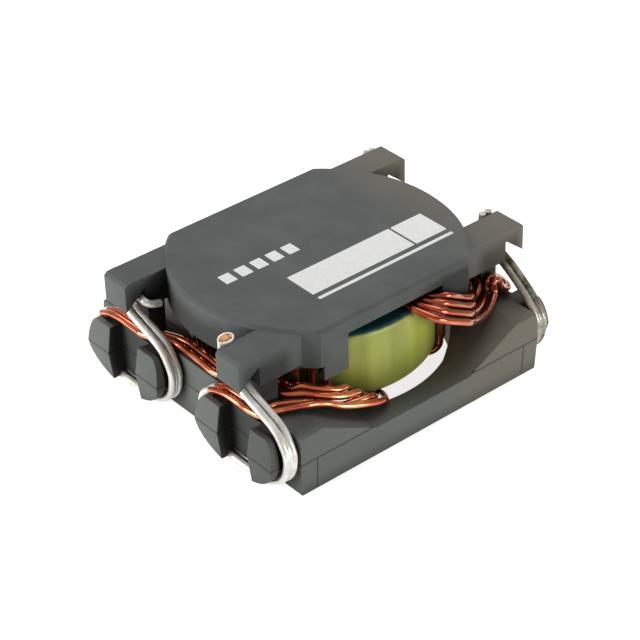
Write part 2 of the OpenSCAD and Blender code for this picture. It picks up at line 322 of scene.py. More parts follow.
class FinishNodes(Nodes):
    """Node tree of one finish, laid out on the Object coordinates of the pieces that wear it."""

    def __init__(self, name: str) -> None:
        """Start an empty material of this name."""
        super().__init__(bpy.data.materials.new(name))
        self.place = self.add("TexCoord").outputs["Object"]

    def axes(self) -> tuple[NodeSocket, ...]:
        """Object coordinates in metres, split into x, y and z."""
        return tuple(self.add("SeparateXYZ", {"Vector": self.place}).outputs)

    def away(self, value: Source, centre_mm: float) -> Node:
        """Distance of a coordinate from a value in millimetres, in metres."""
        off = self.add("Math", {0: value, 1: centre_mm * MM}, operation="SUBTRACT")
        return self.add("Math", {0: off}, operation="ABSOLUTE")

    def mottled(self, size_mm: float, tones: tuple[str, str], span: Span, detail: float = 2.0,
                place: Source | None = None) -> tuple[Node, Node]:
        """Cloudy change between two tones.

        Args:
            size_mm: Size of the clouds.
            tones: The two tones, as hex colours.
            span: Places in the clouds' range where each tone is full.
            detail: Number of finer layers in the clouds.
            place: Coordinates for the clouds, or None for Object coordinates.

        Returns:
            The clouds, and their colour.
        """
        cloud = self.add("TexNoise", {
            "Vector": self.place if place is None else place, "Scale": 1 / (size_mm * MM), "Detail": detail,
        })
        ramp = self.add("ValToRGB", {"Fac": cloud})
        for stop, position, tone in zip(ramp.color_ramp.elements, span, tones):
            stop.position = position
            stop.color = linear(tone)
        return cloud, ramp

    def inside(self, *edges: tuple[Source, float, float], most: float = 1.0) -> Node:
        """Mask of a zone between soft edges.

        Args:
            edges: For each, a coordinate in metres, and where along it the mask starts and is full,
                in millimetres.
            most: Value of the full mask.

        Returns:
            The mask.
        """
        mask = most
        for value, start_mm, full_mm in edges:
            edge = self.add("MapRange", {"Value": value, "From Min": start_mm * MM, "From Max": full_mm * MM})
            mask = self.add("Math", {0: mask, 1: edge}, operation="MULTIPLY")
        return mask

    def occlusion_shade(self, reach_mm: float, own: bool, span: Span, most: float) -> Node:
        """Painted shade where surfaces lie close together.

        Args:
            reach_mm: How far a neighbouring surface counts.
            own: Whether only the piece itself counts, or its neighbours and the floor too.
            span: Openness at which the painted shade is full, and at which there is none.
            most: Share of the colour that full painted shade covers.

        Returns:
            Share of the colour that is covered.
        """
        probe = self.add("AmbientOcclusion", {"Distance": reach_mm * MM}, samples=8, only_local=own)
        return self.add("MapRange", {
            "Value": probe.outputs["AO"], "From Min": span[0], "From Max": span[1],
            "To Min": most, "To Max": 0.0,
        })

    def layered(self, ground: Source, *layers: tuple[Source, str]) -> NodeSocket:
        """Ground colour under thin layers of other colours.

        Args:
            ground: Colour of the ground.
            layers: Share that each layer covers, and its hex colour, from the ground up.

        Returns:
            The colour on top.
        """
        for share, tone in layers:
            # A colour Mix has its two colours on inputs 6 and 7, and its result on output 2
            mix = self.add("Mix", {0: share, 6: ground, 7: linear(tone)}, data_type="RGBA")
            ground = mix.outputs[2]
        return ground

    def close(self, inputs: Inputs, pattern: Node | None = None, gloss: Span | None = None,
              relief: Span | None = None) -> Material:
        """End the tree in one Principled surface.

        Args:
            inputs: Value or source of each of its inputs.
            pattern: Pattern that the gloss and the relief follow.
            gloss: Roughness where the pattern is lowest and highest.
            relief: Strength of the relief, and its depth in millimetres.

        Returns:
            The finished material.
        """
        if gloss:
            inputs["Roughness"] = self.add("MapRange", {
                "Value": pattern, "To Min": gloss[0], "To Max": gloss[1],
            })
        if relief:
            inputs["Normal"] = self.add("Bump", {
                "Height": pattern, "Strength": relief[0], "Distance": relief[1] * MM,
            })
        surface = self.add("BsdfPrincipled", inputs)
        self.add("OutputMaterial", {"Surface": surface})
        return self.owner


# Finishes


@dataclass(frozen=True)
class PaintedShadeZone:
    """Zone of the carrier darkened by painted shade.

    Each edge is a direction, and where along it the painted shade starts and is full, in millimetres.
    """

    amount: float
    edges: tuple[tuple[Along, float, float], ...]


# Painted shade where the carrier lies in shadow
PAINTED_SHADE_ZONES = (
    # The upright slots of the blocks
    PaintedShadeZone(0.6, (
        (Along.OUT, 11.3, 11.6), (Along.OUT, 13.2, 12.9), (Along.OFF, 1.78, 1.67), (Along.Z, 5.0, 4.7),
    )),
    # Under the tabs
    PaintedShadeZone(0.62, (
        (Along.OUT, 8.4, 9.4), (Along.OUT, 13.15, 12.5), (Along.Z, 9.95, 8.6), (Along.Z, 5.2, 6.2),
    )),
    # The right-hand end of the cap's front flat
    PaintedShadeZone(0.72, (
        (Along.X, 1.5, 4.5), (Along.X, 8.8, 7.4), (Along.Y, -7.9, -8.3), (Along.Z, 10.1, 9.3),
        (Along.Z, 5.2, 6.2),
    )),
    # Beside the wire loops of the front left block, and of the far left one
    PaintedShadeZone(0.36, ((Along.X, -11.5, -11.9), (Along.Y, -7.9, -8.2), (Along.Z, 5.0, 4.7))),
    PaintedShadeZone(0.14, (
        (Along.X, -11.5, -11.9), (Along.Y, 4.9, 4.6), (Along.Y, 1.0, 1.5), (Along.Z, 5.0, 4.7),
    )),
)


@dataclass(frozen=True)
class MouldedPlastic:
    """Mineral-filled moulding compound, as it leaves a lightly eroded mould.

    The filler gives a faint grey mottle, the mould's texture a soft broken sheen, and the two
    halves of the mould leave a thin dark line round the outer walls. The texture is drawn
    coarser than the real one, so that it shows. Painted shade darkens the recesses, the places
    close to other pieces and the floor, and some zones. Painted light makes the lower walls
    paler, and the right-hand end lighter and warmer in tone, the lower half more so.
    """

    body: str = "#595D5B"
    mottle: str = "#626664"
    mottle_span: Span = (0.35, 0.7)
    cloud_mm: float = 2.4
    # Painted light: paler lower walls, as if lit from the floor
    painted_foot: str = "#6C706B"
    painted_foot_mm: Span = (5.4, 4.6)
    # Painted light: lighter, warmer tone towards the right-hand end, more in the lower half
    painted_warm_light: str = "#7B7467"
    painted_warm_light_mm: Span = (6.0, 11.5)
    painted_warm_light_low_mm: float = 5.0
    painted_warm_light_most: float = 0.75
    seam: str = "#343635"
    seam_mm: Span = (0.1, 0.03)
    seam_most: float = 0.8
    parting_mm: float = 2.7
    step_x_mm: float = 9.8
    outer_mm: Span = (11.2, 11.27)
    block_y_mm: float = 6.4
    # Painted shade in the piece's own recesses, and close to other pieces and the floor
    recess_mm: float = 4.5
    recess_span: Span = (0.42, 0.94)
    recess_shade: float = 0.78
    near_mm: float = 2.6
    near_span: Span = (0.15, 0.75)
    shade: float = 0.78
    grain_mm: float = 0.16
    gloss: Span = (0.5, 0.68)
    relief: Span = (0.12, 0.02)
    specular: float = 0.2

    def material(self) -> Material:
        """Build the dark grey plastic.

        Returns:
            The finished material.
        """
        nodes = FinishNodes("filled_moulded_plastic")
        x, y, z = nodes.axes()
        aside = nodes.away(y, 0)
        at = {
            Along.X: x, Along.Y: y, Along.Z: z, Along.OUT: nodes.away(x, 0),
            Along.ASIDE: aside, Along.OFF: nodes.away(aside, self.block_y_mm),
        }
        _, colour = nodes.mottled(self.cloud_mm, (self.body, self.mottle), self.mottle_span, detail=3.0)
        low = nodes.inside((z, *self.painted_foot_mm))
        reach = nodes.add("Math", {0: low, 1: self.painted_warm_light_low_mm * MM, 2: x}, operation="MULTIPLY_ADD")
        # Painted shade in the listed zones
        zone_shades = [nodes.inside(*((at[way], start, full) for way, start, full in zone.edges), most=zone.amount)
                for zone in PAINTED_SHADE_ZONES]
        colour = nodes.layered(
            colour,
            (low, self.painted_foot),
            (nodes.inside((reach, *self.painted_warm_light_mm), most=self.painted_warm_light_most), self.painted_warm_light),
            (self._seams(nodes, at), self.seam),
            (nodes.occlusion_shade(self.recess_mm, True, self.recess_span, self.recess_shade), PAINTED_SHADE),
            (nodes.occlusion_shade(self.near_mm, False, self.near_span, self.shade), PAINTED_SHADE),
            *((mask, PAINTED_SHADE) for mask in zone_shades),
        )
        grain = nodes.add("TexNoise", {"Vector": nodes.place, "Scale": 1 / (self.grain_mm * MM)})
        return nodes.close({"Base Color": colour, "Specular IOR Level": self.specular},
                           grain, self.gloss, self.relief)

    def _seams(self, nodes: FinishNodes, at: dict[Along, Source]) -> Node:
        """Mask of the parting line on the outer walls, and of the step lines below it.

        Args:
            nodes: Node tree of the material.
            at: Coordinate for each direction.

        Returns:
            The mask of the lines.
        """
        end, side = (nodes.add("Math", {0: at[way], 1: limit * MM}, operation="GREATER_THAN")
                     for way, limit in zip((Along.OUT, Along.ASIDE), self.outer_mm))
        low = nodes.add("Math", {0: at[Along.Z], 1: self.parting_mm * MM}, operation="LESS_THAN")
        walls = nodes.add("Math", {0: end, 1: side}, operation="MAXIMUM")
        low_sides = nodes.add("Math", {0: low, 1: side}, operation="MULTIPLY")
        lines = []
        places = ((Along.Z, self.parting_mm, walls), (Along.OUT, self.step_x_mm, low_sides))
        for way, centre_mm, where in places:
            line = nodes.inside((nodes.away(at[way], centre_mm), *self.seam_mm), most=self.seam_most)
            lines.append(nodes.add("Math", {0: line, 1: where}, operation="MULTIPLY"))
        return nodes.add("Math", {0: lines[0], 1: lines[1]}, operation="MAXIMUM")


@dataclass(frozen=True)
class CoreCoat:
    """Epoxy coat of a pressed powder ring: yellow-green, with one face blue-green.

    The fluidised powder melts to a satin skin with a faint orange peel. Painted shade darkens it
    where the carrier and the wires lie close, and towards the foot.
    """

    side: str = "#ACB44E"
    side_shade: str = "#979E43"
    side_span: Span = (0.35, 0.62)
    band_mm: float = 1.6
    band_scale: Triple = (1.0, 1.0, 0.15)
    face: str = "#174449"
    face_z_mm: float = 7.9
    wander_mm: float = 0.12
    # Painted shade: darker towards the foot
    painted_foot: float = 0.45
    painted_foot_mm: Span = (5.8, 2.4)
    shade: float = 0.6
    shade_mm: float = 3.2
    shade_span: Span = (0.2, 0.75)
    peel_mm: float = 0.35
    relief: Span = (0.06, 0.03)
    roughness: float = 0.38

    def material(self) -> Material:
        """Build the two-colour coating.

        Returns:
            The finished material.
        """
        nodes = FinishNodes("epoxy_powder_coat")
        _, _, z = nodes.axes()
        peel = nodes.add("TexNoise", {"Vector": nodes.place, "Scale": 1 / (self.peel_mm * MM)})
        upright = nodes.add("Mapping", {"Vector": nodes.place, "Scale": self.band_scale})
        _, side = nodes.mottled(self.band_mm, (self.side_shade, self.side), self.side_span, detail=1.0,
                                place=upright)
        rim = nodes.add("Math", {0: peel, 1: self.wander_mm * MM, 2: z}, operation="MULTIPLY_ADD")
        colour = nodes.layered(
            side,
            (nodes.inside((z, *self.painted_foot_mm), most=self.painted_foot), PAINTED_SHADE),
            (nodes.occlusion_shade(self.shade_mm, False, self.shade_span, self.shade), PAINTED_SHADE),
            (nodes.inside((rim, self.face_z_mm, self.face_z_mm + self.wander_mm)), self.face),
        )
        return nodes.close({"Base Color": colour, "Roughness": self.roughness}, peel, relief=self.relief)


@dataclass(frozen=True)
class EnamelledCopper:
    """Magnet wire: drawn copper under a clear amber enamel.

    The enamel darkens the copper to orange-brown and gives it a wet gloss. Painted shade makes it
    darker and browner towards the right-hand end, and darkens the gaps between the turns.
    """

    deep: str = "#CE4824"
    light: str = "#FA935E"
    cloud_mm: float = 1.8
    cloud_span: Span = (0.35, 0.68)
    # Painted shade: darker, browner copper towards the right-hand end
    right_end_shade: str = "#A4521F"
    right_end_shade_mm: Span = (1.0, 6.0)
    right_end_shade_most: float = 0.8
    # Painted shade in the gaps between strands
    gap_mm: float = 0.8
    gap_span: Span = (0.2, 0.7)
    gap_shade: float = 0.88
    metallic: float = 0.92
    roughness: float = 0.16
    coat_roughness: float = 0.05

    def material(self) -> Material:
        """Build the lacquered copper.

        Returns:
            The finished material.
        """
        nodes = FinishNodes("enamelled_copper_wire")
        x, _, _ = nodes.axes()
        _, colour = nodes.mottled(self.cloud_mm, (self.deep, self.light), self.cloud_span)
        colour = nodes.layered(
            colour,
            (nodes.inside((x, *self.right_end_shade_mm), most=self.right_end_shade_most), self.right_end_shade),
            (nodes.occlusion_shade(self.gap_mm, False, self.gap_span, self.gap_shade), PAINTED_SHADE),
        )
        return nodes.close({
            "Base Color": colour, "Metallic": self.metallic, "Roughness": self.roughness,
            "Coat Weight": 1.0, "Coat Roughness": self.coat_roughness,
        })


@dataclass(frozen=True)
class SolderTin:
    """Solder-dipped copper wire: bright tin with soft runs, and brown flux left at the right-hand end."""

    bright: str = "#FDFBF6"
    dull: str = "#E6DFD0"
    run_mm: float = 0.7
    run_span: Span = (0.3, 0.6)
    flux: str = "#5E4C22"
    flux_mm: Span = (10.0, 12.0)
    flux_most: float = 1.5
    # Painted shade in the gaps between strands and pieces
    gap_mm: float = 0.5
    gap_span: Span = (0.2, 0.7)
    gap_shade: float = 0.8
    metallic: float = 0.3
    gloss: Span = (0.34, 0.16)
    relief: Span = (0.25, 0.04)

    def material(self) -> Material:
        """Build the tinned wire.

        Returns:
            The finished material.
        """
        nodes = FinishNodes("solder_dipped_wire")
        x, _, _ = nodes.axes()
        runs, colour = nodes.mottled(self.run_mm, (self.dull, self.bright), self.run_span, detail=3.0)
        near_end = nodes.inside((x, *self.flux_mm), most=self.flux_most)
        patch = nodes.add("Math", {0: near_end, 1: runs}, operation="MULTIPLY", use_clamp=True)
        colour = nodes.layered(
            colour,
            (patch, self.flux),
            (nodes.occlusion_shade(self.gap_mm, False, self.gap_span, self.gap_shade), PAINTED_SHADE),
        )
        return nodes.close({"Base Color": colour, "Metallic": self.metallic}, runs, self.gloss, self.relief)


@dataclass(frozen=True)
class CutCopper:
    """Bare copper on the sheared face of a wire end, streaked by the cutter."""

    face: str = "#C2976E"
    burnt: str = "#7A5636"
    streak_mm: float = 0.3
    streak_span: Span = (0.4, 0.6)
    metallic: float = 0.7
    gloss: Span = (0.3, 0.5)

    def material(self) -> Material:
        """Build the sheared copper.

        Returns:
            The finished material.
        """
        nodes = FinishNodes("sheared_copper")
        streak, colour = nodes.mottled(self.streak_mm, (self.burnt, self.face), self.streak_span)
        return nodes.close({"Base Color": colour, "Metallic": self.metallic}, streak, self.gloss)


@dataclass(frozen=True)
class ScreenInk:
    """White pad-printed ink, matte, thinner where the plastic's grain stands up."""

    full: str = "#FDFDFB"
    thin: str = "#F1F2EF"
    grain_mm: float = 0.22
    grain_span: Span = (0.25, 0.5)
    roughness: float = 0.6

    def material(self) -> Material:
        """Build the white ink.

        Returns:
            The finished material.
        """
        nodes = FinishNodes("white_pad_print_ink")
        _, colour = nodes.mottled(self.grain_mm, (self.thin, self.full), self.grain_span)
        return nodes.close({"Base Color": colour, "Roughness": self.roughness})


# Sizes that the pieces share with the part's source, in millimetres


@dataclass(frozen=True)
class Sizes:
    """Sizes of the carrier, the ring and the wire, as in the part's source."""

    base_len: float = 22.5
    base_h: float = 4.8
    parting_h: float = 2.7
    top_h: float = 10.2
    plate_t: float = 1.25
    cap_flat: float = 17.1
    window_w: float = 8.8
    tab_w: float = 2.5
    tab_y: float = 6.4
    tab_z: float = 10.0
    neck_out: float = 11.5
    web_z: float = 7.45
    post_out: float = 11.05
    post_in: float = 9.6
    post_wid: float = 1.5
    core_od: float = 17.5
    core_id: float = 9.4
    core_h: float = 5.5
    core_edge: float = 0.5
    core_fit: float = 0.15
    hang_gap: float = 0.3
    wire_d: float = 0.54
    wire_gap: float = 0.04
    turns: int = 8
    strands: int = 4
    loop_w: float = 9.3
    stub_rise: float = 0.25

    @property
    def lay(self) -> float:
        """Distance of a strand's centre line from what it lies on."""
        return self.wire_d / 2 + self.wire_gap

    @property
    def pitch(self) -> float:
        """Distance between neighbouring strands."""
        return self.wire_d + self.wire_gap

    @property
    def core_top(self) -> float:
        """Height of the ring's upper face."""
        return self.top_h - self.plate_t - self.hang_gap - self.wire_d - self.wire_gap


@dataclass
class StrandRoute:
    """Route of one wire strand: a lead in, its turns round the ring, and a lead out.

    Lengths are in millimetres and angles in degrees. In the tables of control points, each row
    runs outwards, across and up, and its loose numbers are offsets from the edges it names.
    """

    sizes: Sizes
    index: int
    samples: int = 8
    corner_steps: int = 5
    lead_angle: float = 10.0
    lead_step: float = 4.5
    lead_lift: float = 0.1
    leg_reach: float = 14.0
    leg_clear: float = 1.0
    bunch: float = 0.25

    def __post_init__(self) -> None:
        """Work out the section of a turn and the angles of the turns."""
        s = self.sizes
        self.ri = s.core_id / 2 - s.lay
        self.ro = s.core_od / 2 + s.lay
        self.zb = s.core_top - s.core_h - s.lay
        self.zt = s.core_top + s.lay
        self.rc = s.core_edge + s.lay
        self.lead_z = s.base_h + s.lay + self.lead_lift
        flat_in = math.sqrt((s.core_od / 2 + s.core_fit) ** 2 - s.window_w ** 2 / 4)
        low = math.degrees(math.asin((flat_in - s.lay) / self.ro))
        high = math.degrees(math.acos((s.window_w / 2 - s.lay) / self.ro))
        self.leg_mid = (low + high) / 2
        self.leg_half = (high - low) / 2 + self.leg_clear
        self.first = 180 + low - self.leg_clear
        self.step = (self.first - (self.leg_clear - low)) / (s.strands * s.turns - 1)

    def inner_angle(self, n: int) -> float:
        """Angle of the inner side of turn n, counted over all strands."""
        return self.first + (2 - n) * self.step

    def outer_angle(self, n: int) -> float:
        """Angle of the outer side of turn n, kept off the skirt's legs.

        Args:
            n: Number of the turn, counted over all strands.

        Returns:
            Angle from the X axis.
        """
        last = self.sizes.strands * self.sizes.turns - 1
        place = n - self.bunch * last * math.sin(2 * math.pi * n / last) / (2 * math.pi)
        angle = self.first - place * self.step
        for middle in (self.leg_mid, 180 - self.leg_mid):
            off = angle - middle
            if abs(off) < self.leg_reach:
                push = self.leg_half + abs(off) * (self.leg_reach - self.leg_half) / self.leg_reach
                angle = middle + math.copysign(push, off)
        return angle

    def on_turn(self, quarter: int, share: float, a_in: float, a_out: float) -> Vector:
        """Point on a rounded corner of a turn.

        Args:
            quarter: Corner, counted from the lower inner one, up and over.
            share: Place on the corner, from 0 to 1.
            a_in: Angle of the turn's inner side.
            a_out: Angle of the turn's outer side.

        Returns:
            The point.
        """
        turned = math.radians(quarter * 90 + 90 * share)
        radius = self.ri + self.rc if quarter < 2 else self.ro - self.rc
        height = self.zb + self.rc if quarter in (0, 3) else self.zt - self.rc
        radius -= self.rc * math.sin(turned)
        height -= self.rc * math.cos(turned)
        angle = math.radians(a_in + (a_out - a_in) * (radius - self.ri) / (self.ro - self.ri))
        return Vector((radius * math.cos(angle), radius * math.sin(angle), height))

    def wound(self) -> Route:
        """Turns round the ring, from the lead in to the lead out.

        Returns:
            Points on the turns.
        """
        s, points = self.sizes, []
        shares = [i / self.corner_steps for i in range(self.corner_steps + 1)]
        for j in range(s.turns + 1):
            n = s.strands * j + self.index
            came = 270 - self.exit_angle(self.index) if j == 0 else self.outer_angle(n - s.strands)
            goes = self.exit_angle(s.strands - 1 - self.index) - 90 if j == s.turns else self.outer_angle(n)
            here, after = self.inner_angle(n), self.inner_angle(n + s.strands)
            corners = [(here, came), (here, goes)] + ([(here, goes), (after, goes)] if j < s.turns else [])
            for quarter, (a_in, a_out) in enumerate(corners):
                points += [self.on_turn(quarter, t, a_in, a_out) for t in shares]
        return points

    def exit_angle(self, number: int) -> float:
        """Angle of a lane's exit from the middle of the front window."""
        return self.lead_angle + self.lead_step * number

    def beside_ring(self, number: int, over: bool) -> Route:
        """Lead from the ring to the nearer post.

        Args:
            number: Lane of the lead.
            over: Whether it leaves over the ring's top or under it.

        Returns:
            Control points, with x counted outwards.
        """
        s, z = self.sizes, self.lead_z
        m = s.strands - 1 - number  # the lane, counted from the innermost
        jamb, flat = s.window_w / 2, s.cap_flat / 2
        if over:
            start, clear = self.zt, self.zt - 0.1
            lane = [
                (jamb + 0.1 - 0.7 * m, flat + 0.45 + 0.45 * m, self.zt - 0.1 - 0.14 * m),
                (jamb + 1.5 - 0.4 * m, flat + 0.35 + 0.57 * m, self.zt - 0.96 - 0.25 * m),
                (jamb + 2.5 - 0.36 * m, flat + 0.3 + 0.48 * m, self.zt - 1.38 - 0.32 * m),
                (s.post_in - 1.55, s.tab_y + 0.95 + 0.66 * m, z + 1 - 0.3 * m),
            ]
        else:
            start, clear = self.zb, self.zb + 0.27
            lane = [
                (jamb + 0.2 - 0.6 * m, flat + 0.05 + 0.53 * m, z - 0.8 - 0.37 * m),
                (jamb + 1.3, flat + 0.15 + (0, 0.53, 0.64, 1.27)[m], z - 0.3 - (0, 0.29, 0.98, 0.7)[m]),
                (jamb + 2.8, flat - 0.6 + (0, 0.64, 0.83, 1.4)[m], z + 0.16 - (0, 0.28, 0.92, 0.56)[m]),
                (s.post_in - 1.7 + 0.23 * m, s.tab_y + 1.1 + (0, 0.56, 1.04, 1.58)[m],
                 z + 0.44 - (0, 0.22, 0.58, 0.4)[m]),
            ]
        angle = math.radians(self.exit_angle(number))
        leave = [(r * math.sin(angle), r * math.cos(angle), h)
                 for r, h in ((self.ro - self.rc, start), (self.ro, clear))]
        return [Vector((u, -v, h)) for u, v, h in leave + lane]

    def to_terminal(self, number: int, over: bool) -> Route:
        """Lead from beside the ring to the front of its own terminal's post.

        Args:
            number: Lane of the lead. Lanes 0 and 1 end at the front terminal.
            over: Whether it comes from over the ring, and so climbs the nearer post.

        Returns:
            Control points, with x counted outwards.
        """
        s, z = self.sizes, self.lead_z
        outer = 1 - number % 2
        r, half = s.lay + outer * s.pitch, s.post_wid / 2
        near, tab = -half - r, s.tab_y
        bend = (s.post_out + 0.72 * r, -half - 0.72 * r - tab, z)
        if number > 1:
            wide = 1.12 * s.pitch * (1 - outer)
            rise = 1.4 if over else 0.4
            inside = s.post_in - s.lay - wide
            run = s.base_len / 2 - s.lay - 0.05 - wide
            loop = s.loop_w / 2
            points = [
                (inside - 0.2, -half - 0.2 + 0.25 * (1 - outer) - tab, z + 0.7 * rise),
                (inside, -tab, z + rise),
                (inside, half + 0.1 - tab, z + 0.9 * rise),
                (inside + 0.4, half + 1.2 - tab, z + 0.4 * rise),
                (run, loop - 0.45 - tab, z),
                (run, 0, z),
                (run, tab - loop + 1.05, z),
                (s.post_out + 1.04 * r - 0.12, tab - half - 0.45, z),
            ]
        elif over:
            points = [
                (s.post_in + 0.1 + 0.2 * outer, near - tab - 0.1 - 0.06 * outer, z + 0.35),
                (s.post_in + 0.35, near - tab - 0.04, z + 1.3),
                (s.post_in + 0.85 - 0.1 * outer, near - tab - 0.04, z + 1.25),
                (s.post_out - 0.1 - 0.08 * outer, near - tab - 0.02, z + 0.4),
                bend,
            ]
        else:
            points = [
                (s.post_in + 0.5 + 0.4 * outer, near - 0.1 - tab, z),
                (s.post_out - 0.1, near - 0.02 - tab, z),
                bend,
            ]
        return [Vector(point) for point in points]

    def stub_top(self, number: int, over: bool) -> float:
        """Height of a cut end: lowest at the far terminals. The near left pair ends inside its bead."""
        near = self.sizes.tab_z + 0.1 if over else self.sizes.top_h + self.sizes.stub_rise - 0.35
        return near if number < 2 else self.sizes.tab_z - 0.2

    def wire_loop(self, number: int, end: End, top: float) -> Route:
        """Loop round a terminal block and up to the cut end.

        Args:
            number: Lane of the lead.
            end: How the cut end is laid.
            top: Height of a cut end that stands up.

        Returns:
            Control points, with x counted outwards.
        """
        s, z = self.sizes, self.lead_z
        lay = s.lay + (1 - number % 2) * s.pitch
        front, groove, neck = s.post_out + lay, s.base_len / 2 + lay, s.neck_out + lay
        loop, middle, half, side = s.loop_w / 2, s.parting_h + 0.3, s.post_wid / 2, s.tab_w / 2
        down = [
            (groove, loop - 0.15, middle + 1), (groove, loop, middle), (groove, loop - 0.35, middle - 1.2),
            (groove, loop - 1.35, s.lay + 0.55), (groove, loop - 2.75, s.lay + 0.06), (groove, 0.6, s.lay),
        ]
        up = [(u, -v, h) for u, v, h in reversed(down)]
        web = s.web_z
        tail = [(neck, -half - 0.1, web - 0.65)]
        if end is End.HOOK:
            tail += [
                (neck, -side + 1.1, web - 0.1), (neck, -side + 1.05, web + 0.55),
                (neck, -side + 0.35, web + 0.85), (neck, -side - 0.25, web + 0.75),
                (neck - 0.4, -side - s.lay - 0.2, web + 0.5), (neck - 1.1, -side - s.lay - 0.3, web + 0.35),
            ]
        else:
            tail += [
                (neck, 0.3, web - 0.1), (neck, side - 0.05, web + 0.3), (neck, side + s.lay, web + 1),
                (neck, side + s.lay, top),
            ]
        points = [
            (front, -0.6 * half, z), (front, 0.8 * half, z), ((front + groove) / 2, loop - 2.3, z),
            (groove, loop - 0.9, z - 0.5), *down, *up, (groove, 1.1 - loop, z + 0.05),
            ((groove + neck) / 2, -half - 1.45, z + 0.9), *tail,
        ]
        centre = -s.tab_y if number < 2 else s.tab_y
        return [Vector((u, v + centre, h)) for u, v, h in points]

    def smooth(self, points: Route, sign: int) -> Route:
        """Curve through control points.

        Args:
            points: Control points, with x counted outwards.
            sign: Direction of x at that end, 1 at the right and -1 at the left.

        Returns:
            Points on the curve, with a fixed number of samples on each stretch.
        """
        last, curve = len(points) - 1, []
        for i in range(last):
            a, b, c, d = points[max(i - 1, 0)], points[i], points[i + 1], points[min(i + 2, last)]
            for j in range(self.samples):
                t = j / self.samples
                curve.append(0.5 * (2 * b + (c - a) * t + (2 * a - 5 * b + 4 * c - d) * t ** 2
                                    + (3 * b - a - 3 * c + d) * t ** 3))
        return [Vector((sign * p.x, p.y, p.z)) for p in curve + [points[last]]]

    def lead(self, right: bool) -> tuple[Route, int]:
        """One lead of the strand, from the ring to its cut end.

        Args:
            right: Whether it is the lead at the right-hand end.

        Returns:
            Points on the lead, and the place in them where the tinning starts.
        """
        s = self.sizes
        number = s.strands - 1 - self.index if right else self.index
        hooked = not right and self.index == s.strands - 1
        tail = self.wire_loop(number, End.HOOK if hooked else End.STUB, self.stub_top(number, right))
        points = self.beside_ring(number, right) + self.to_terminal(number, right)
        tinned_from = (len(points) + 3) * self.samples
        return self.smooth(points + tail, 1 if right else -1), tinned_from


# Pieces


@dataclass
class CarrierMoulding:
    """The one-piece carrier, with the soft edges of a moulding."""

    node: str = "carrier"
    edge_mm: float = 0.13
    edge_angle: float = 28.0
    flat_angle: float = 0.6
    smooth: float = 30.0

    def build(self, frame: dict) -> None:
        """Copy the solid, merge it and round its edges.
        """
        piece = bpy.data.objects.new("carrier_moulding", frame["nodes"][self.node].data.copy())
        bpy.context.scene.collection.objects.link(piece)
        open_mesh(piece)
        bpy.ops.mesh.remove_doubles(threshold=SOLID_MERGE_MM * MM)
        bpy.ops.mesh.dissolve_limited(angle_limit=math.radians(self.flat_angle))
        bpy.ops.object.mode_set(mode="OBJECT")
        edges = piece.modifiers.new("soft_edges", "BEVEL")
        edges.width = self.edge_mm * MM
        edges.segments = 3
        edges.limit_method = "ANGLE"
        edges.angle_limit = math.radians(self.edge_angle)
        edges.miter_outer = "MITER_ARC"
        edges.use_clamp_overlap = True
        bpy.ops.object.modifier_apply(modifier=edges.name)
        hand_over(piece, Slot.CARRIER, [MouldedPlastic().material()], self.node, self.smooth)


@dataclass
class RingCore:
    """The coated powder ring, turned from a rounded section."""

    sizes: Sizes
    node: str = "ring_core"
    steps: int = 160
    edge_steps: int = 8
    smooth: float = 50.0

    def build(self) -> None:
        """Spin the ring from its section, and delete the section that the spin leaves inside it."""
        s = self.sizes
        wall = (s.core_od - s.core_id) / 2
        middle = Vector((s.core_id / 2 + wall / 2, 0, s.core_top - s.core_h / 2))
        piece = plate("ring_core_coated", middle, wall, s.core_h, math.pi / 2)
        bpy.ops.mesh.bevel(offset=s.core_edge * MM, segments=self.edge_steps, affect="VERTICES")
        bpy.ops.mesh.spin(steps=self.steps, angle=2 * math.pi, center=(0, 0, 0), axis=(0, 0, 1))
        bpy.ops.mesh.select_all(action="SELECT")
        bpy.ops.mesh.remove_doubles(threshold=SOLID_MERGE_MM * MM)
        pick_faces(piece, lambda face: len(face.verts) > 4)
        bpy.ops.mesh.delete(type="ONLY_FACE")
        face_out()
        hand_over(piece, Slot.CORE, [CoreCoat().material()], self.node, self.smooth)


@dataclass
class WireStrand:
    """One wire strand: an enamelled stretch and its two solder-dipped ends."""

    sizes: Sizes
    index: int
    node: str
    copper: Material
    tin: Material
    cut: Material
    tin_extra_mm: float = 0.02
    rim_mm: float = 0.05

    def build(self) -> None:
        """Build the enamelled stretch, then the left and right tinned ends."""
        route = StrandRoute(self.sizes, self.index)
        left, left_tin = route.lead(False)
        right, right_tin = route.lead(True)
        bare = left[:left_tin + 1][::-1] + route.wound() + right[:right_tin + 1]
        name = self.node.replace("_winding_strand", "_strand")
        wire = round_tube(f"{name}_enamelled", bare, self.sizes.wire_d)
        hand_over(wire, Slot.COPPER, [self.copper], self.node, WIRE_SMOOTH)
        for side, lead, start in (("left", left, left_tin), ("right", right, right_tin)):
            end = round_tube(f"{name}_tinned_{side}", lead[start - 1:], self.sizes.wire_d + self.tin_extra_mm)
            bare_tip(end, lead[-1] * MM, self.rim_mm)
            hand_over(end, Slot.TIN, [self.tin, self.cut], self.node, WIRE_SMOOTH)


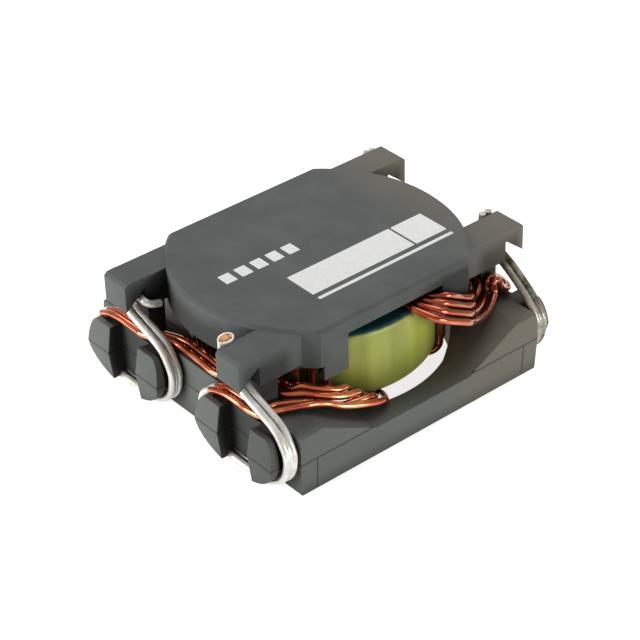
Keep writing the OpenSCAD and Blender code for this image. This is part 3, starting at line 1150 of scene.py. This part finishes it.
@dataclass
class TerminalSolder:
    """Solder of the terminals: a web between the strands of each loop, and one bead on a cut pair."""

    sizes: Sizes
    tin: Material
    cut: Material
    web_mm: float = 0.46
    web_taper: float = 0.15
    stretch: tuple[int, int] = (11, 17)
    bead_mm: Span = (0.66, 0.36)
    bead_z: Span = (9.2, 10.29)
    bead_slope: float = 22.0
    bead_sides: int = 40
    rim_mm: float = 0.07

    def build(self) -> None:
        """Run the webs and set the bead."""
        for number, row in ((0, "front"), (2, "far")):
            for sign, side in ((-1, "left"), (1, "right")):
                between = self._between(number, sign)
                web = round_tube(f"solder_web_{row}_{side}", between, self.web_mm, self.web_taper)
                hand_over(web, Slot.TIN, [self.tin], None, WIRE_SMOOTH)
        self._bead()

    def _between(self, number: int, sign: int) -> Route:
        """Middle line between the two strands of a loop, over the stretch that solder fills.

        Args:
            number: Outer lane of the pair.
            sign: Direction of x at that end.

        Returns:
            Points in millimetres.
        """
        route = StrandRoute(self.sizes, 0)
        outer, inner = (route.wire_loop(n, End.STUB, self.sizes.tab_z) for n in (number, number + 1))
        middle = [(a + b) / 2 for a, b in zip(outer, inner)]
        return route.smooth(middle[slice(*self.stretch)], sign)

    def _bead(self) -> None:
        """Bead round the near left cut pair, sheared off at a slope."""
        s = self.sizes
        low, high = self.bead_z
        x = -(s.neck_out + s.lay + s.pitch / 2)
        y = s.tab_w / 2 + s.lay - s.tab_y
        bpy.ops.mesh.primitive_cylinder_add(vertices=self.bead_sides, radius=MM, depth=(high - low) * MM,
                                            location=Vector((x, y, (low + high) / 2)) * MM)
        piece = bpy.context.object
        piece.name = "solder_bead_front_left"
        piece.scale = (*self.bead_mm, 1)
        bpy.ops.object.transform_apply()
        tip = Vector((x, y, high)) * MM
        slope = math.tan(math.radians(self.bead_slope))
        for vert in piece.data.vertices:
            if vert.co.z > (low + high) / 2 * MM:
                vert.co.z += slope * (vert.co.y - tip.y)
        bare_tip(piece, tip, self.rim_mm)
        hand_over(piece, Slot.TIN, [self.tin, self.cut], None, WIRE_SMOOTH)


@dataclass
class Marking:
    """Plain printed fields on the cap: two blank label fields, a rule under them and a row of bars.

    Each field is its lowest and highest x, then its lowest and highest y, in millimetres.
    """

    sizes: Sizes
    ink_mm: float = 0.015
    corner_mm: float = 0.06
    smooth: float = 30.0
    label: Field = (-4.3, 5.2, -4.75, -1.9)
    label_end: Field = (5.4, 8.33, -4.75, -1.9)
    rule: Field = (-4.3, 8.33, -5.5, -5.2)
    bars: int = 5
    bar: Span = (0.95, 1.15)
    bars_from: Span = (-7.9, 0.85)
    bars_step: float = 1.42

    def build(self) -> None:
        """Print the fields, then the bars."""
        ink = ScreenInk().material()
        fields = [("label_field", self.label), ("label_field_end", self.label_end), ("label_rule", self.rule)]
        width, height = self.bar
        for i in range(self.bars):
            x, y = self.bars_from[0] + i * self.bars_step, self.bars_from[1]
            fields.append((f"code_bar_{i + 1}", (x, x + width, y - height / 2, y + height / 2)))
        for name, (x0, x1, y0, y1) in fields:
            centre = Vector(((x0 + x1) / 2, (y0 + y1) / 2, self.sizes.top_h))
            piece = plate(name, centre, x1 - x0, y1 - y0)
            bpy.ops.mesh.bevel(offset=self.corner_mm * MM, segments=3, affect="VERTICES")
            bpy.ops.mesh.extrude_region_move(TRANSFORM_OT_translate={"value": (0, 0, self.ink_mm * MM)})
            face_out()
            hand_over(piece, Slot.INK, [ink], None, self.smooth)


# Stage


@dataclass(frozen=True)
class SoftPanel:
    """Square area lamp that faces the part: its place, its side and its power in watts."""

    name: str
    place_mm: Triple
    side_mm: float
    power: float

    def build(self) -> None:
        """Hang the lamp."""
        place = Vector(self.place_mm) * MM
        bpy.ops.object.light_add(type="AREA", location=place)
        lamp = bpy.context.object
        lamp.name = self.name
        lamp.data.size = self.side_mm * MM
        lamp.data.energy = self.power
        lamp.rotation_euler = (-place).to_track_quat("-Z", "Y").to_euler()


@dataclass
class Studio:
    """Pale floor, soft lights and the camera of the photo's view."""

    panels: tuple[SoftPanel, ...] = (
        SoftPanel("key_panel", (60, 45, 100), 120, 0.09),
        SoftPanel("front_panel", (50, -170, 22), 90, 0.22),
        SoftPanel("left_panel", (-170, 60, 45), 110, 0.32),
    )
    floor: str = "#E2E2E0"
    floor_size: float = 2.0
    floor_drop_mm: float = 0.02
    floor_glow: float = 0.8
    room: Span = (0.12, 0.38)
    yaw: float = 39.373
    elevation: float = 34.403
    roll: float = -1.642
    distance_mm: float = 158.62
    target_mm: Triple = (0.0, 0.0, 4.41)
    lens: float = 121.99
    sensor: float = 36.0
    nearest_mm: float = 1.0
    shift: Span = (0.0029, -0.0135)

    def build(self) -> None:
        """Set up the floor, the world, the lights and the camera."""
        bpy.context.scene.view_settings.view_transform = "Standard"
        self._floor()
        self._world()
        for panel in self.panels:
            panel.build()
        self._camera()

    def _rays(self, nodes: Nodes, *kinds: str) -> Node:
        """Mask of the rays that are of any of these kinds.

        Args:
            nodes: Node tree of the floor or the world.
            kinds: Light Path's names for them.

        Returns:
            The mask.
        """
        path, mask = nodes.add("LightPath"), 0.0
        for kind in kinds:
            mask = nodes.add("Math", {0: mask, 1: path.outputs[kind]}, operation="MAXIMUM")
        return mask

    def _floor(self) -> None:
        """Wide pale floor that keeps a soft shadow, and looks white to the eye and in mirrors."""
        bpy.ops.mesh.primitive_plane_add(size=self.floor_size, location=(0, 0, -self.floor_drop_mm * MM))
        floor = bpy.context.object
        floor.name = "pale_floor"
        nodes = Nodes(bpy.data.materials.new("pale_sweep"))
        paper = nodes.add("BsdfDiffuse", {"Color": linear(self.floor)})
        glow = nodes.add("Emission", {"Color": linear(WHITE), "Strength": self.floor_glow})
        both = nodes.add("AddShader", {0: paper, 1: glow})
        seen = self._rays(nodes, "Is Camera Ray", "Is Glossy Ray", "Is Transmission Ray")
        mixed = nodes.add("MixShader", {0: seen, 1: paper, 2: both})
        nodes.add("OutputMaterial", {"Surface": mixed})
        floor.data.materials.append(nodes.owner)

    def _world(self) -> None:
        """Soft surrounding light, white where it is seen, a dim room where it is mirrored."""
        world = bpy.data.worlds.new("pale_room")
        bpy.context.scene.world = world
        nodes = Nodes(world)
        seen = self._rays(nodes, "Is Camera Ray", "Is Transmission Ray")
        room = nodes.add("MapRange", {
            "Value": self._rays(nodes, "Is Glossy Ray"), "To Min": self.room[0], "To Max": self.room[1],
        })
        strength = nodes.add("Math", {0: seen, 1: room}, operation="MAXIMUM")
        light = nodes.add("Background", {"Color": linear(WHITE), "Strength": strength})
        nodes.add("OutputWorld", {"Surface": light})

    def _camera(self) -> None:
        """Camera at the photo's view."""
        yaw, rise, roll = (math.radians(v) for v in (self.yaw, self.elevation, self.roll))
        back = Vector((-math.sin(yaw) * math.cos(rise), -math.cos(yaw) * math.cos(rise), math.sin(rise)))
        right = Vector((math.cos(yaw), -math.sin(yaw), 0))
        up = back.cross(right)
        side = math.cos(roll) * right + math.sin(roll) * up
        top = -math.sin(roll) * right + math.cos(roll) * up
        place = (Vector(self.target_mm) + back * self.distance_mm) * MM
        camera = bpy.data.objects.new("photo_camera", bpy.data.cameras.new("photo_camera"))
        camera.matrix_world = Matrix.Translation(place) @ Matrix((side, top, back)).transposed().to_4x4()
        camera.data.lens = self.lens
        camera.data.sensor_width = self.sensor
        camera.data.shift_x, camera.data.shift_y = self.shift
        camera.data.clip_start = self.nearest_mm * MM
        bpy.context.scene.collection.objects.link(camera)
        bpy.context.scene.camera = camera


def main() -> None:
    """Build the pieces and the stage in order."""
    logging.basicConfig(level=logging.INFO, format="%(name)s %(message)s")
    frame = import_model()
    sizes = Sizes()
    CarrierMoulding().build(frame)
    RingCore(sizes).build()
    copper, tin, cut = EnamelledCopper().material(), SolderTin().material(), CutCopper().material()
    names = [f"{order}_winding_strand_{letter}" for order in ("first", "second") for letter in "ab"]
    for index, node in enumerate(names):
        WireStrand(sizes, index, node, copper, tin, cut).build()
    TerminalSolder(sizes, tin, cut).build()
    Marking(sizes).build()
    Studio().build()


if __name__ == "__main__":
    main()
